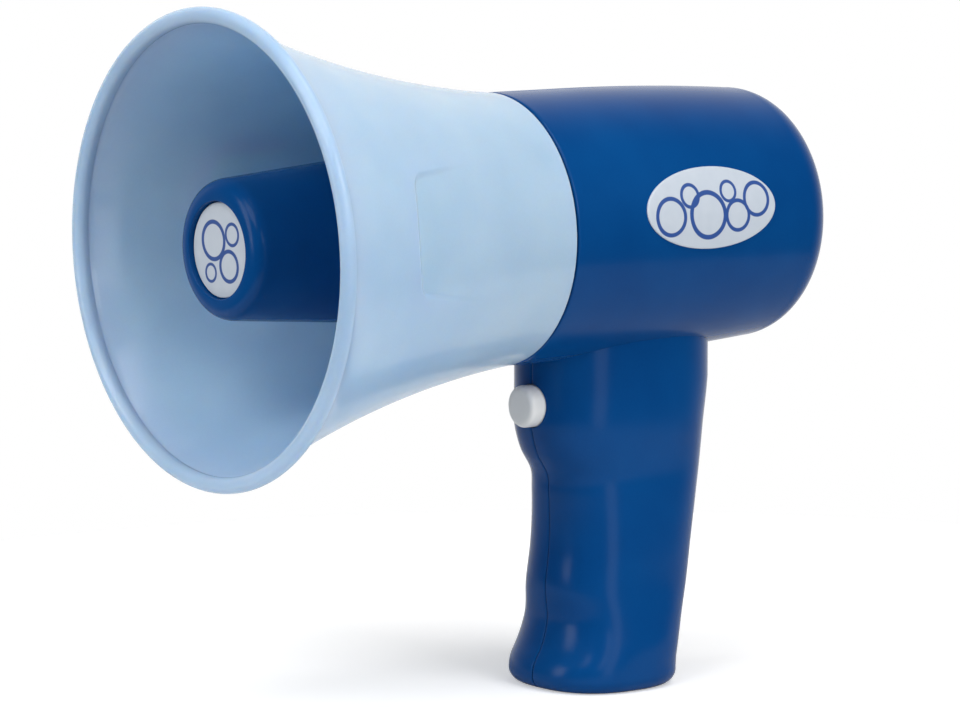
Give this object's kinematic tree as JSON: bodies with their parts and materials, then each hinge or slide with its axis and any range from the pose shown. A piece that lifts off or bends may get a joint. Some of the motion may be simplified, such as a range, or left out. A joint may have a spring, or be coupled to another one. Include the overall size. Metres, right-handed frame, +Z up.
{
  "type": "bubble megaphone",
  "caption": "Toy bubble megaphone: flared bell with a nose cone inside, barrel and pistol grip, push-button trigger, and a geared bubble wheel, fan and motor within.",
  "frame": {"origin": "middle of the grip's base, on the surface that it stands on", "axes": "+Z up; the bell faces -Y; +X is the left side of someone holding it"},
  "size_m": [0.145, 0.2174, 0.2192],
  "materials": {
    "pale_blue_plastic": "gloss",
    "deep_blue_plastic": "semi-gloss",
    "white_plastic": "satin",
    "pale_label": "satin",
    "black_plastic": "matte",
    "gear_nylon": "satin",
    "steel": "satin",
    "spring_steel": "bright",
    "motor_metal": "satin",
    "cell_jacket": "satin",
    "red_wire": "satin",
    "yellow_wire": "satin",
    "black_wire": "satin"
  },
  "bodies": {
    "body": {"battery_cell_1": "cell_jacket", "battery_cell_2": "cell_jacket", "battery_cell_3": "cell_jacket", "battery_holder": "black_plastic", "centre_post": "white_plastic", "cone_label": "pale_label", "cone_screw": "steel", "contact_board": "black_plastic", "drive_chassis": "black_plastic", "hinge_pin": "steel", "left_body_shell": "deep_blue_plastic", "left_side_label": "pale_label", "motor_bracket": "black_plastic", "motor_can": "motor_metal", "motor_end_cap": "white_plastic", "nose_cone": "deep_blue_plastic", "post_nut": "steel", "right_body_shell": "deep_blue_plastic", "right_side_label": "pale_label", "shell_screw_1": "steel", "shell_screw_2": "steel", "shell_screw_3": "steel", "shell_screw_4": "steel", "shell_screw_5": "steel", "shell_screw_6": "steel", "side_strip": "spring_steel", "solution_trough": "deep_blue_plastic", "switch_body": "black_plastic", "top_bridge": "spring_steel", "top_terminal": "spring_steel", "trigger_spring": "spring_steel", "wheel_clip": "steel", "wire_return": "black_wire", "wire_supply": "red_wire", "wire_switched": "yellow_wire"},
    "horn": {"horn": "pale_blue_plastic"},
    "rotor": {"motor_shaft": "steel", "motor_pinion": "gear_nylon", "fan_impeller": "white_plastic"},
    "lay_train": {"lay_shaft": "steel", "lay_pinion": "gear_nylon", "lay_gear": "gear_nylon"},
    "wheel": {"bubble_wheel": "white_plastic", "wheel_gear": "gear_nylon"},
    "trigger": {"trigger_button": "white_plastic", "switch_plunger": "black_plastic"},
    "door": {"battery_door": "deep_blue_plastic", "door_screw": "steel", "door_bridge": "spring_steel", "door_terminal": "spring_steel", "door_spring_1": "spring_steel", "door_spring_2": "spring_steel"}
  },
  "joints": [
    {"name": "horn_twist", "type": "hinge", "parent": "body", "child": "horn", "pos_m": [0, -0.0387, 0.1467], "axis": [0, 1, 0], "range_deg": [0, 30]},
    {"name": "motor_spin", "type": "hinge", "parent": "body", "child": "rotor", "pos_m": [0, -0.0387, 0.1467], "axis": [0, 1, 0], "continuous": true},
    {"name": "lay_spin", "type": "hinge", "parent": "body", "child": "lay_train", "pos_m": [0, -0.0387, 0.1667], "axis": [0, 1, 0], "continuous": true},
    {"name": "wheel_spin", "type": "hinge", "parent": "body", "child": "wheel", "pos_m": [0, -0.0387, 0.1467], "axis": [0, 1, 0], "continuous": true},
    {"name": "trigger_press", "type": "slide", "parent": "body", "child": "trigger", "axis": [0, 1, 0], "range_m": [0, 0.003], "stiffness_N_per_m": 300, "springref_m": -0.003, "deforming": ["trigger_spring"]},
    {"name": "door_hinge", "type": "hinge", "parent": "body", "child": "door", "pos_m": [0, 0.0182, 0.002], "axis": [1, 0, 0], "range_deg": [0, 90]}
  ],
  "couplings": [
    {"joint": "lay_spin", "follows": "motor_spin", "ratio": -0.33333},
    {"joint": "wheel_spin", "follows": "motor_spin", "ratio": 0.11111}
  ]
}
